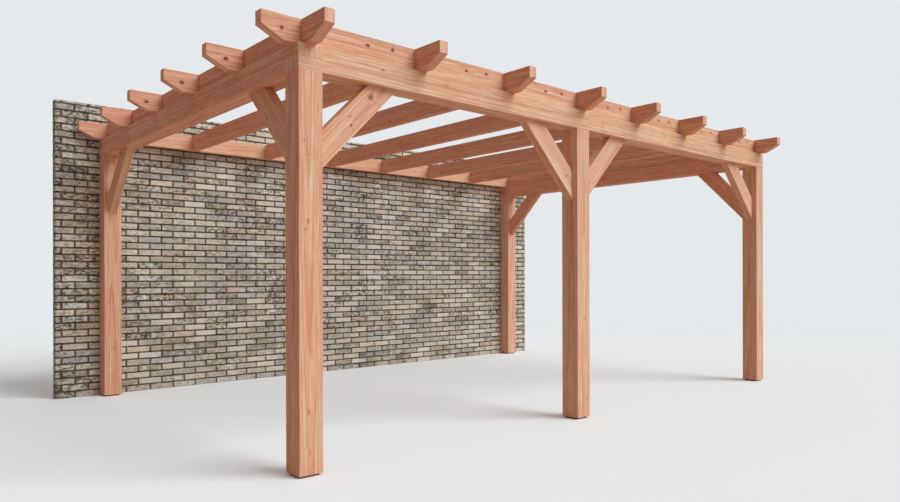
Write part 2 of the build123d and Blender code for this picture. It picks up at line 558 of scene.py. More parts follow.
@dataclass(frozen=True)
class OldBrick:
    """Old fired clay bricks, hand made: dull grey, beige and rosy faces, blotched and weathered dark."""

    clays: tuple[str, ...] = (
        "#A09E91",
        "#D8D8C7",
        "#F6F7EC",
        "#DCCBB6",
        "#BCC4BE",
        "#F6F3DE",
        "#C5C0A4",
        "#D5D8D8",
    )
    weathering: str = "#48453B"
    lime: str = "#EDEAE4"
    moss: str = "#5C5C49"
    blotch: Patch = Patch(60.0 * MM, 0.45, 0.75, 1.6)
    streak: Patch = Patch(16.0 * MM, 0.3, 0.7, 3.0)
    stain: Patch = Patch(38.0 * MM, 0.41, 0.67, 2.0)
    damp: Patch = Patch(360.0 * MM, 0.46, 0.68, 1.6)
    patch_layers: float = 4.0
    patch_roughness: float = 0.6
    brick_shift: float = 17.0
    damp_share: float = 0.45
    rim_share: float = 0.15
    streak_share: float = 0.22
    moss_share: float = 0.25
    # Real grit is about 1 mm and too fine to show in the render, so it is drawn coarser
    grit: float = 5.0 * MM
    grit_layers: float = 3.0
    relief: float = 1.5 * MM
    relief_strength: float = 0.6
    smoothest: float = 0.82
    roughest: float = 0.96

    def material(self) -> Material:
        """Builds the brick's material: each brick's clay, then lime blotches, streaks and weathering, which
        carries painted shade at the wall's left end and painted light at its foot.

        Returns:
            The material.
        """
        material, tree = new_material("old_fired_brick")
        brick = add_node(tree, "ShaderNodeAttribute", attribute_name="brick").outputs["Vector"]
        own = add_node(tree, "ShaderNodeSeparateXYZ", {0: brick})
        rim = add_node(tree, "ShaderNodeAttribute", attribute_name="rim").outputs["Fac"]
        place = add_node(tree, "ShaderNodeTexCoord").outputs["Object"]
        shift = add_node(
            tree,
            "ShaderNodeVectorMath",
            {0: brick, "Scale": self.brick_shift},
            operation="SCALE",
        )
        shifted = add_node(
            tree,
            "ShaderNodeVectorMath",
            {0: place, 1: shift.outputs[0]},
            operation="ADD",
        ).outputs[0]
        steps = len(self.clays) - 1
        clay = add_node(
            tree,
            "ShaderNodeValToRGB",
            {"Fac": own.outputs[0]},
            stops={number / steps: colour for number, colour in enumerate(self.clays)},
        ).outputs["Color"]
        blotches = self.patches(tree, shifted, self.blotch)
        streaks = self.patches(tree, shifted, self.streak)
        stains = self.patches(tree, shifted, self.stain)
        damp = self.patches(tree, place, self.damp)
        limed = add_node(
            tree,
            "ShaderNodeMix",
            {"Factor": blotches, "A": clay, "B": linear(self.lime)},
            data_type="RGBA",
        )
        # Each brick's weathering carries painted shadow at the wall's left end and painted light at its foot
        share = add_node(
            tree,
            "ShaderNodeMath",
            {0: damp, 1: self.damp_share, 2: own.outputs[1]},
            operation="MULTIPLY_ADD",
        )
        dark = add_node(tree, "ShaderNodeMath", {0: stains, 1: share.outputs[0]}, operation="MULTIPLY")
        edged = add_node(
            tree,
            "ShaderNodeMath",
            {0: rim, 1: self.rim_share, 2: dark.outputs[0]},
            operation="MULTIPLY_ADD",
        )
        darker = add_node(
            tree,
            "ShaderNodeMath",
            {0: streaks, 1: self.streak_share, 2: edged.outputs[0]},
            operation="MULTIPLY_ADD",
            use_clamp=True,
        )
        weathered = add_node(
            tree,
            "ShaderNodeMix",
            {"Factor": darker.outputs[0], "A": limed.outputs["Result"], "B": linear(self.weathering)},
            data_type="RGBA",
        )
        wet = add_node(tree, "ShaderNodeMath", {0: damp, 1: self.moss_share}, operation="MULTIPLY")
        mossy = add_node(
            tree,
            "ShaderNodeMix",
            {"Factor": wet.outputs[0], "A": weathered.outputs["Result"], "B": linear(self.moss)},
            data_type="RGBA",
        )
        grit = add_node(
            tree,
            "ShaderNodeTexNoise",
            {"Vector": place, "Scale": 1.0 / self.grit, "Detail": self.grit_layers},
        )
        bump = add_node(
            tree,
            "ShaderNodeBump",
            {"Strength": self.relief_strength, "Distance": self.relief, "Height": grit.outputs["Fac"]},
        )
        rough = add_node(
            tree,
            "ShaderNodeMapRange",
            {"Value": streaks, "To Min": self.smoothest, "To Max": self.roughest},
        )
        shader = add_node(
            tree,
            "ShaderNodeBsdfPrincipled",
            {
                "Base Color": mossy.outputs["Result"],
                "Roughness": rough.outputs[0],
                "Normal": bump.outputs[0],
            },
        )
        close_material(tree, shader)
        return material

    def patches(self, tree: Tree, place: Socket, patch: Patch) -> Socket:
        """Draws patches that are longer along the course than they are high.

        Args:
            tree: The material's node tree.
            place: Where a point is, or that shifted for each brick.
            patch: The kind of patch.

        Returns:
            The patches, from 0 to 1.
        """
        squeezed = add_node(
            tree,
            "ShaderNodeMapping",
            {"Vector": place, "Scale": (1.0, 1.0, patch.flatness)},
        )
        noise = add_node(
            tree,
            "ShaderNodeTexNoise",
            {
                "Vector": squeezed.outputs[0],
                "Scale": 1.0 / patch.length,
                "Detail": self.patch_layers,
                "Roughness": self.patch_roughness,
            },
        )
        return add_node(
            tree,
            "ShaderNodeMapRange",
            {"Value": noise.outputs["Fac"], "From Min": patch.begin, "From Max": patch.full},
        ).outputs[0]


@dataclass(frozen=True)
class LimeMortar:
    """Raked lime mortar, dark with age: brown, sandy and quite dull."""

    pale: str = "#6A5E4C"
    dark: str = "#42382B"
    patch: float = 90.0 * MM
    patch_layers: float = 4.0
    patch_span: Span = (0.35, 0.65)
    # Real sand is about 1 mm and too fine to show in the render, so it is drawn coarser
    sand: float = 4.0 * MM
    sand_layers: float = 2.0
    relief: float = 1.0 * MM
    relief_strength: float = 0.7
    smoothest: float = 0.88
    roughest: float = 1.0

    def material(self) -> Material:
        """Builds the mortar's material.

        Returns:
            The material.
        """
        material, tree = new_material("raked_lime_mortar")
        place = add_node(tree, "ShaderNodeTexCoord").outputs["Object"]
        patches = add_node(
            tree,
            "ShaderNodeTexNoise",
            {"Vector": place, "Scale": 1.0 / self.patch, "Detail": self.patch_layers},
        )
        sand = add_node(
            tree,
            "ShaderNodeTexNoise",
            {"Vector": place, "Scale": 1.0 / self.sand, "Detail": self.sand_layers},
        )
        begin, full = self.patch_span
        colour = add_node(
            tree,
            "ShaderNodeValToRGB",
            {"Fac": patches.outputs["Fac"]},
            stops={begin: self.dark, full: self.pale},
        )
        bump = add_node(
            tree,
            "ShaderNodeBump",
            {"Strength": self.relief_strength, "Distance": self.relief, "Height": sand.outputs["Fac"]},
        )
        rough = add_node(
            tree,
            "ShaderNodeMapRange",
            {"Value": sand.outputs["Fac"], "To Min": self.smoothest, "To Max": self.roughest},
        )
        shader = add_node(
            tree,
            "ShaderNodeBsdfPrincipled",
            {
                "Base Color": colour.outputs["Color"],
                "Roughness": rough.outputs[0],
                "Normal": bump.outputs[0],
            },
        )
        close_material(tree, shader)
        return material


@dataclass(frozen=True)
class CoatedSteel:
    """Painted or zinc-plated steel: half dull, with lighter and darker flecks in the coat.

    Real flecks are too fine to show in the render, so they are drawn coarser.
    """

    name: str
    pale: str
    dark: str
    fleck: float
    roughness: float
    metallic: float
    rough_spread: float = 0.1

    def material(self) -> Material:
        """Builds the steel's material.

        Returns:
            The material.
        """
        material, tree = new_material(self.name)
        place = add_node(tree, "ShaderNodeTexCoord").outputs["Object"]
        flecks = add_node(tree, "ShaderNodeTexVoronoi", {"Vector": place, "Scale": 1.0 / self.fleck})
        level = add_node(tree, "ShaderNodeSeparateXYZ", {0: flecks.outputs["Color"]})
        colour = add_node(
            tree,
            "ShaderNodeValToRGB",
            {"Fac": level.outputs[0]},
            stops={0.0: self.dark, 1.0: self.pale},
        )
        rough = add_node(
            tree,
            "ShaderNodeMapRange",
            {
                "Value": level.outputs[1],
                "To Min": self.roughness - self.rough_spread,
                "To Max": self.roughness + self.rough_spread,
            },
        )
        shader = add_node(
            tree,
            "ShaderNodeBsdfPrincipled",
            {
                "Base Color": colour.outputs["Color"],
                "Roughness": rough.outputs[0],
                "Metallic": self.metallic,
            },
        )
        close_material(tree, shader)
        return material


def add_object(name: str, bm: BMesh, material: Material) -> Piece:
    """Puts a finished mesh in the scene, as an object at the origin.

    Args:
        name: The object's name.
        bm: The mesh in place, which is freed.
        material: Its material.

    Returns:
        The object.
    """
    mesh = bpy.data.meshes.new(name)
    bm.to_mesh(mesh)
    bm.free()
    mesh.materials.append(material)
    made = bpy.data.objects.new(name, mesh)
    bpy.context.scene.collection.objects.link(made)
    return made


def make_piece(name: str, bm: BMesh, material: Material) -> Piece:
    """Makes a finished mesh a piece of the veranda that rides on its body.

    Args:
        name: The piece's name.
        bm: The mesh in place, which is freed.
        material: Its material.

    Returns:
        The piece.
    """
    piece = add_object(name, bm, material)
    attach(piece, BODY)
    return piece


def add_box(bm: BMesh, middle: Vector, size: Vector) -> list[bmesh.types.BMVert]:
    """Adds a box to a mesh and gives its corners."""
    return bmesh.ops.create_cube(bm, size=1.0, matrix=Matrix.LocRotScale(middle, None, size))["verts"]


def edges_round(faces: list[bmesh.types.BMFace]) -> list[bmesh.types.BMEdge]:
    """Lists the convex edges round some faces, each of them once."""
    return list(dict.fromkeys(edge for face in faces for edge in face.edges if edge.is_convex))


def round_edges(bm: BMesh, edges: list[bmesh.types.BMEdge], radius: float, segments: int = 1) -> None:
    """Rounds edges of a mesh.

    Args:
        bm: The mesh.
        edges: The edges.
        radius: How far the rounding reaches from each edge.
        segments: Number of flats in it.
    """
    bmesh.ops.bevel(
        bm,
        geom=edges,
        offset=radius,
        affect="EDGES",
        segments=segments,
        profile=0.5,
        material=-1,
    )


@dataclass(frozen=True)
class Knot:
    """A knot: its place along and across the grain, its radius, and how many radii deep its middle lies."""

    along: float
    across: float
    radius: float
    through_side: bool = True
    depth: float = 0.0


@dataclass(frozen=True)
class KnotScatter:
    """How knots are scattered: their radius and depth, and the shares of the timber that they keep to."""

    radius: float
    depth: float
    along: Span
    across: Span = (0.2, 0.8)

    def draw(self, chance: Random, count: int, length: float, height: float) -> tuple[Knot, ...]:
        """Draws the knots of one timber.

        Args:
            chance: The timber's own source of chance.
            count: Number of knots.
            length: The timber's length.
            height: The timber's height.

        Returns:
            The knots.
        """
        return tuple(
            Knot(
                length * chance.uniform(*self.along),
                height * chance.uniform(*self.across),
                self.radius,
                depth=self.depth,
            )
            for _ in range(count)
        )


@dataclass
class Timber:
    """One planed timber: an outline drawn along the grain, with its thickness and its rounded arrises."""

    name: str
    origin: Vector
    along: Vector
    across: Vector
    outline: Outline
    thickness: float
    arris: float
    tone: float
    knots: tuple[Knot, ...] = ()
    boxed_heart: bool = False
    end_arris: float = 1.0 * MM
    arris_segments: int = 2
    least_along: float = 0.99
    end_slope: float = 0.5
    sawn_slope: float = 0.3
    grain_reach: float = 40.0
    grain_slope: float = 0.014
    heart_pith: Span = (0.35, 0.65)
    board_pith: Span = (0.1, 0.9)
    board_pith_deep: tuple[float, float] = (-0.7, 1.7)
    no_knot: float = 99.0

    def piece(self, material: Material) -> Piece:
        """Makes the timber a piece, in the place of the CAD node of its name.

        Args:
            material: The timber's material.

        Returns:
            The piece.
        """
        bm = bmesh.new()
        self.add_to(bm)
        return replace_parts(make_piece(f"{self.name}_timber", bm, material), self.name)

    def add_to(self, whole: BMesh) -> None:
        """Builds the timber in its own frame, marks its grain and adds it to a mesh in place.

        Args:
            whole: The mesh that the timber is added to.
        """
        bm = bmesh.new()
        outline = [bm.verts.new((along, across, 0.0)) for along, across in self.outline]
        side = bm.faces.new(outline)
        pulled = bmesh.ops.extrude_face_region(bm, geom=[side])
        moved = [element for element in pulled["geom"] if isinstance(element, bmesh.types.BMVert)]
        bmesh.ops.translate(bm, verts=moved, vec=UP * self.thickness)
        bmesh.ops.recalc_face_normals(bm, faces=bm.faces[:])
        self.round_arrises(bm)
        self.mark_grain(bm)
        deep = self.along.cross(self.across)
        axes = Matrix((self.along, self.across, deep)).transposed().to_4x4()
        bmesh.ops.transform(bm, matrix=Matrix.Translation(self.origin) @ axes, verts=bm.verts[:])
        part = bpy.data.meshes.new(self.name)
        bm.to_mesh(part)
        bm.free()
        whole.from_mesh(part)
        bpy.data.meshes.remove(part)

    def round_arrises(self, bm: BMesh) -> None:
        """Rounds the long arrises, then breaks the edges of the sawn ends.

        Args:
            bm: The timber in its own frame.
        """
        long_edges = [
            edge
            for edge in bm.edges
            if edge.is_convex
            and abs((edge.verts[1].co - edge.verts[0].co).normalized().x) > self.least_along
        ]
        round_edges(bm, long_edges, self.arris, self.arris_segments)
        ends = [face for face in bm.faces if abs(face.normal.x) > self.end_slope]
        round_edges(bm, edges_round(ends), self.end_arris)

    def mark_grain(self, bm: BMesh) -> None:
        """Stores the grain, the knots, the tone and the sawn ends, which the timber's material reads.

        Args:
            bm: The timber in its own frame.
        """
        chance = Random(self.name)
        grain = bm.verts.layers.float_vector.new("grain")
        tone = bm.verts.layers.float.new("tone")
        end = bm.faces.layers.float.new("end")
        names = [f"knot_{number + 1}" for number in range(KNOTS_PER_TIMBER)]
        layers = [bm.verts.layers.float_vector.new(name) for name in names]
        start = chance.uniform(0.0, self.grain_reach)
        pith_across, pith_deep = self.pith(chance)
        slope_across, slope_deep = (chance.uniform(-self.grain_slope, self.grain_slope) for _ in range(2))
        for vert in bm.verts:
            along, across, deep = vert.co
            vert[grain] = Vector(
                (
                    along + start,
                    across - pith_across + slope_across * along,
                    deep - pith_deep + slope_deep * along,
                )
            )
            vert[tone] = self.tone
            for number, layer in enumerate(layers):
                vert[layer] = self.knot_offset(number, vert.co)
        for face in bm.faces:
            face[end] = 1.0 if abs(face.normal.x) > self.sawn_slope else 0.0

    def pith(self, chance: Random) -> Vector:
        """Places the pith: inside a timber of boxed heart, and beside a board.

        Args:
            chance: The timber's own source of chance.

        Returns:
            The pith's place across the outline and in the thickness.
        """
        height = max(across for _, across in self.outline)
        if self.boxed_heart:
            across, deep = chance.uniform(*self.heart_pith), chance.uniform(*self.heart_pith)
        else:
            across, deep = chance.uniform(*self.board_pith), chance.choice(self.board_pith_deep)
        return Vector((height * across, self.thickness * deep))

    def knot_offset(self, number: int, point: Vector) -> Vector:
        """Measures how far a point is from one of the knots.

        Args:
            number: The knot's number, from zero.
            point: The point in the timber's own frame.

        Returns:
            The offset in radii of the knot, which is far where the timber has no such knot.
        """
        if number >= len(self.knots):
            return Vector((self.no_knot, self.no_knot, 0.0))
        knot = self.knots[number]
        along, across, deep = point
        aside = across if knot.through_side else deep
        return Vector((along - knot.along, aside - knot.across, 0.0)) / knot.radius + UP * knot.depth


def box_outline(length: float, height: float) -> Outline:
    """Gives the outline of a plain timber from its length and height."""
    return (0.0, 0.0), (length, 0.0), (length, height), (0.0, height)


def corner_of(low: Vector, high: Vector, *directions: Vector) -> Vector:
    """Finds the corner of a box from which the given directions all lead into it.

    Args:
        low: The box's lowest corner.
        high: The box's highest corner.
        directions: Directions along the axes.

    Returns:
        The corner.
    """
    total = sum(directions, Vector())
    return Vector(high[axis] if total[axis] < 0.0 else low[axis] for axis in range(3))


def straight_timber(
    node: str, along: Vector, across: Vector, outline: Outline, arris: float, tone: float, **extras: Any
) -> Timber:
    """Sets up a timber that fills the box of its CAD node.

    Args:
        node: The timber's node.
        along: Direction of its grain.
        across: Direction of its height.
        outline: Its outline along the grain.
        arris: Radius of its long arrises.
        tone: Its shift towards salmon, which on the rafters and the right beam is partly painted shade.
        extras: Its other values, by name.

    Returns:
        The timber.
    """
    low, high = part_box(node)
    deep = along.cross(across)
    origin = corner_of(low, high, along, across, deep)
    thickness = abs((high - low).dot(deep))
    return Timber(node, origin, along, across, outline, thickness, arris, tone, **extras)


@dataclass
class Posts:
    """The five square posts."""

    timber: Material
    arris: float = 3.0 * MM
    knot_radius: float = 9.0 * MM
    knot_depth: float = 1.0
    scattered_knots: int = 3
    knot_along: Span = (0.05, 0.95)
    knot_across: Span = (0.2, 0.8)
    knot_growth: Span = (0.6, 1.1)
    side_share: float = 0.5
    tones: dict[str, float] = field(
        default_factory=lambda: {
            "front_left": 0.0,
            "front_middle": -0.15,
            "front_right": -0.2,
            "rear_left": 0.15,
            "rear_right": -0.15,
        }
    )
    front_left_knots: Outline = (
        (1826.0 * MM, 38.0 * MM),
        (1749.0 * MM, 50.0 * MM),
        (1387.0 * MM, 56.0 * MM),
        (1343.0 * MM, 38.0 * MM),
        (346.0 * MM, 59.0 * MM),
        (123.0 * MM, 59.0 * MM),
    )

    def build(self) -> list[Piece]:
        """Builds every post."""
        return [self.post(place) for place in POST_PLACES]

    def knots(self, place: str, length: float, side: float) -> tuple[Knot, ...]:
        """Gives a post its knots: as seen on the front left post, and scattered on the others.

        Args:
            place: Where the post stands.
            length: Its length.
            side: Its width.

        Returns:
            The knots.
        """
        if place == "front_left":
            return tuple(
                Knot(along, across, self.knot_radius, depth=self.knot_depth)
                for along, across in self.front_left_knots
            )
        chance = Random(f"knots of {place}")
        return tuple(
            Knot(
                length * chance.uniform(*self.knot_along),
                side * chance.uniform(*self.knot_across),
                self.knot_radius * chance.uniform(*self.knot_growth),
                chance.random() < self.side_share,
                self.knot_depth,
            )
            for _ in range(self.scattered_knots)
        )

    def post(self, place: str) -> Piece:
        """Builds one post.

        Args:
            place: Where the post stands.

        Returns:
            The post.
        """
        node = f"post_{place}"
        low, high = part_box(node)
        size = high - low
        return straight_timber(
            node,
            UP,
            RIGHT,
            box_outline(size.z, size.x),
            self.arris,
            self.tones[place],
            knots=self.knots(place, size.z, size.x),
            boxed_heart=True,
        ).piece(self.timber)


@dataclass
class Feet:
    """The thin steel plate under each post."""

    steel: Material
    edge: float = 1.5 * MM
    edge_segments: int = 2
    corner: float = 8.0 * MM
    corner_segments: int = 4
    flat_slope: float = 0.9

    def build(self) -> list[Piece]:
        """Builds every foot."""
        return [self.foot(place) for place in POST_PLACES]

    def foot(self, place: str) -> Piece:
        """Builds one plate with round corners and broken edges.

        Args:
            place: Which post it stands under.

        Returns:
            The plate.
        """
        node = f"foot_{place}"
        low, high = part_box(node)
        bm = bmesh.new()
        add_box(bm, (low + high) * 0.5, high - low)
        upright = [edge for edge in bm.edges if abs(edge.verts[0].co.z - edge.verts[1].co.z) > self.edge]
        round_edges(bm, upright, self.corner, self.corner_segments)
        flats = [face for face in bm.faces if abs(face.normal.z) > self.flat_slope]
        round_edges(bm, edges_round(flats), self.edge, self.edge_segments)
        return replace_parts(make_piece(f"{node}_plate", bm, self.steel), node)


@dataclass
class Beams:
    """The three beams on the posts, half lapped at the front corners."""

    timber: Material
    arris: float = 3.0 * MM
    lap_share: float = 0.5
    scatter: KnotScatter = KnotScatter(8.0 * MM, 1.0, (0.08, 0.95))
    side_knots: dict[str, int] = field(default_factory=lambda: {"left_beam": 0, "right_beam": 2})
    # The right beam's redder, darker tone is painted shade on its inner face
    tones: dict[str, float] = field(
        default_factory=lambda: {"front_beam": -0.25, "left_beam": 0.1, "right_beam": 0.6}
    )
    front_knots: Outline = (
        (561.0 * MM, 94.0 * MM),
        (1056.0 * MM, 86.0 * MM),
        (2700.0 * MM, 60.0 * MM),
        (3600.0 * MM, 95.0 * MM),
        (4300.0 * MM, 40.0 * MM),
    )

    def build(self) -> list[Piece]:
        """Builds the beams."""
        return [self.front_beam(), *(self.side_beam(node) for node in self.side_knots)]

    def front_beam(self) -> Piece:
        """Builds the front beam, whose upper half is cut away at both ends.

        Returns:
            The beam.
        """
        low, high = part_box("front_beam")
        size = high - low
        lap = size.y
        shoulder = size.z * (1.0 - self.lap_share)
        outline = (
            (0.0, 0.0),
            (size.x, 0.0),
            (size.x, shoulder),
            (size.x - lap, shoulder),
            (size.x - lap, size.z),
            (lap, size.z),
            (lap, shoulder),
            (0.0, shoulder),
        )
        knots = tuple(
            Knot(along, across, self.scatter.radius, depth=self.scatter.depth)
            for along, across in self.front_knots
        )
        return self.beam("front_beam", RIGHT, outline, knots)

    def side_beam(self, node: str) -> Piece:
        """Builds a side beam, whose lower half is cut away at the front.

        Args:
            node: The beam's node.

        Returns:
            The beam.
        """
        low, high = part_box(node)
        size = high - low
        lap = size.x
        shoulder = size.z * self.lap_share
        outline = (
            (0.0, shoulder),
            (lap, shoulder),
            (lap, 0.0),
            (size.y, 0.0),
            (size.y, size.z),
            (0.0, size.z),
        )
        knots = self.scatter.draw(Random(f"knots of {node}"), self.side_knots[node], size.y, size.z)
        return self.beam(node, BACK, outline, knots)

    def beam(self, node: str, along: Vector, outline: Outline, knots: tuple[Knot, ...]) -> Piece:
        """Builds one beam from its outline.

        Args:
            node: The beam's node.
            along: Direction of its length.
            outline: Its outline along the grain.
            knots: Its knots.

        Returns:
            The beam.
        """
        tone = self.tones[node]
        beam = straight_timber(node, along, UP, outline, self.arris, tone, knots=knots, boxed_heart=True)
        return beam.piece(self.timber)


@dataclass
class Roof:
    """The rafters, the short tails on the left, the blocks between the rafters and the wall plate."""

    timber: Material
    arris: float = 2.0 * MM
    tail_nose: float = 74.0 * MM
    tail_flat: float = 60.0 * MM
    tail_knot: Knot = Knot(77.0 * MM, 65.0 * MM, 12.0 * MM)
    knotted_tails: int = 4
    block_knots: Outline = ((0.512, 88.0 * MM), (0.762, 100.0 * MM))
    block_knot_radius: float = 9.0 * MM
    rafter_knots: int = 2
    rafter_scatter: KnotScatter = KnotScatter(8.0 * MM, 0.8, (0.05, 0.9))
    # The rafters' redder, darker tone is painted shade on their shaded faces; the random spread about it is
    # real
    rafter_tone: float = 0.35
    tail_tone: float = 0.25
    block_tone: float = -0.05
    plate_tone: float = 0.0
    tone_spread: float = 0.1

    def build(self) -> list[Piece]:
        """Builds the roof's timbers.

        Returns:
            The timbers.
        """
        pieces = [self.rafter(number) for number in range(1, RAFTERS + 1)]
        pieces += [self.left_tail(number) for number in range(1, LEFT_TAILS + 1)]
        return [*pieces, self.blocking(), self.wall_plate()]

    def tail_outline(self, size: tuple[float, float], reach: float, seat: tuple[float, float]) -> Outline:
        """Draws a board from its heel at zero to its bevelled tail, notched over the beam if it is deeper.

        Args:
            size: The board's length and its height at the heel.
            reach: How far its tail reaches past the beam.
            seat: Where its seat on the beam begins, and the seat's height over the heel's underside.

        Returns:
            The outline.
        """
        length, height = size
        flat_end = (length - reach + self.tail_flat, seat[1])
        underside = ((seat[0], 0.0), seat, flat_end) if seat[1] > self.arris else (flat_end,)
        return (0.0, 0.0), *underside, (length, height - self.tail_nose), (length, height), (0.0, height)

    def rafter(self, number: int) -> Piece:
        """Builds a rafter, with its tail to the front.

        Args:
            number: The rafter's number from the left.

        Returns:
            The rafter.
        """
        node = f"rafter_{number}"
        low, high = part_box(node)
        size = high - low
        beam_low, beam_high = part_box("front_beam")
        seat = (high.y - beam_high.y, beam_high.z - low.z)
        chance = Random(f"knots of {node}")
        knots = self.rafter_scatter.draw(chance, self.rafter_knots, size.y, size.z)
        return straight_timber(
            node,
            FORWARD,
            UP,
            self.tail_outline((size.y, size.z), beam_low.y - low.y, seat),
            self.arris,
            self.rafter_tone + chance.uniform(-self.tone_spread, self.tone_spread),
            knots=knots,
        ).piece(self.timber)

    def left_tail(self, number: int) -> Piece:
        """Builds a short tail on the left side, with a knot in each of the first ones.

        Args:
            number: The tail's number from the front.

        Returns:
            The tail.
        """
        node = f"left_tail_{number}"
        low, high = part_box(node)
        size = high - low
        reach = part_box("left_beam")[0].x - low.x
        heel = size.x - reach
        knot = Knot(heel + self.tail_knot.along, self.tail_knot.across, self.tail_knot.radius)
        return straight_timber(
            node,
            LEFT,
            UP,
            self.tail_outline((size.x, size.z), reach, (0.0, 0.0)),
            self.arris,
            self.tail_tone,
            knots=(knot,) if number <= self.knotted_tails else (),
        ).piece(self.timber)

    def blocking(self) -> Piece:
        """Builds the blocks on the front beam, one between each two rafters.

        Returns:
            The blocks as one piece.
        """
        low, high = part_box("front_blocking")
        bm = bmesh.new()
        for number in range(1, RAFTERS):
            left_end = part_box(f"rafter_{number}")[1].x
            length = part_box(f"rafter_{number + 1}")[0].x - left_end
            Timber(
                f"block_{number}",
                Vector((left_end, high.y, low.z)),
                RIGHT,
                UP,
                box_outline(length, high.z - low.z),
                high.y - low.y,
                self.arris,
                self.block_tone,
                tuple(Knot(length * share, up, self.block_knot_radius) for share, up in self.block_knots),
            ).add_to(bm)
        piece = make_piece("front_blocking_timber", bm, self.timber)
        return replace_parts(piece, "front_blocking")

    def wall_plate(self) -> Piece:
        """Builds the plate along the wall, notched over the side beams at its ends.

        Returns:
            The plate.
        """
        low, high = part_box("wall_plate")
        size = high - low
        left_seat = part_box("left_beam")[1].x - low.x
        right_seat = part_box("right_beam")[0].x - low.x
        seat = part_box("left_beam")[1].z - low.z
        outline = (
            (left_seat, 0.0),
            (right_seat, 0.0),
            (right_seat, seat),
            (size.x, seat),
            (size.x, size.z),
            (0.0, size.z),
            (0.0, seat),
            (left_seat, seat),
        )
        plate = straight_timber("wall_plate", RIGHT, UP, outline, self.arris, self.plate_tone)
        return plate.piece(self.timber)


@dataclass
class Braces:
    """The eight braces between the posts and the beams."""

    timber: Material
    width: float = 150.0 * MM
    arris: float = 2.0 * MM
    scattered_knots: int = 2
    scatter: KnotScatter = KnotScatter(8.0 * MM, 0.9, (0.2, 0.8), (0.25, 0.75))
    tone: float = -0.1
    tones: dict[str, float] = field(
        default_factory=lambda: {"brace_right_rear": 0.4, "brace_right_front": 0.4}
    )
    ways: dict[str, Vector] = field(
        default_factory=lambda: {
            "brace_front_left": RIGHT,
            "brace_middle_left": LEFT,
            "brace_middle_right": RIGHT,
            "brace_front_right": LEFT,
            "brace_left_front": BACK,
            "brace_left_rear": FORWARD,
            "brace_right_front": BACK,
            "brace_right_rear": FORWARD,
        }
    )
    seen_knots: dict[str, tuple[Knot, ...]] = field(
        default_factory=lambda: {
            "brace_front_left": (
                Knot(587.0 * MM, 86.0 * MM, 19.0 * MM, depth=0.7),
                Knot(390.0 * MM, 97.0 * MM, 9.0 * MM, depth=0.9),
                Knot(358.0 * MM, 56.0 * MM, 8.0 * MM, depth=0.6),
            ),
            "brace_middle_left": (Knot(178.0 * MM, 72.0 * MM, 9.0 * MM, depth=0.7),),
            "brace_middle_right": (),
            "brace_front_right": (),
        }
    )

    def build(self) -> list[Piece]:
        """Builds every brace."""
        return [self.brace(node, way) for node, way in self.ways.items()]

    def brace(self, node: str, way: Vector) -> Piece:
        """Builds one brace, mitred to sit flat on the post and under the beam.

        Args:
            node: The brace's node.
            way: Direction from the post along the beam.

        Returns:
            The brace.
        """
        low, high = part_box(node)
        size = high - low
        run = abs(size.dot(way))
        drop = size.z
        length = hypot(run, drop)
        along = (way * run + UP * drop) / length
        across = (UP * run - way * drop) / length
        deep = along.cross(across)
        outline = (
            (0.0, 0.0),
            (length, 0.0),
            (length - self.width * run / drop, self.width),
            (self.width * drop / run, self.width),
        )
        scattered = self.scatter.draw(Random(f"knots of {node}"), self.scattered_knots, length, self.width)
        return Timber(
            node,
            corner_of(low, high, way, UP, deep),
            along,
            across,
            outline,
            abs(size.dot(deep)),
            self.arris,
            self.tones.get(node, self.tone),
            self.seen_knots.get(node, scattered),
        ).piece(self.timber)


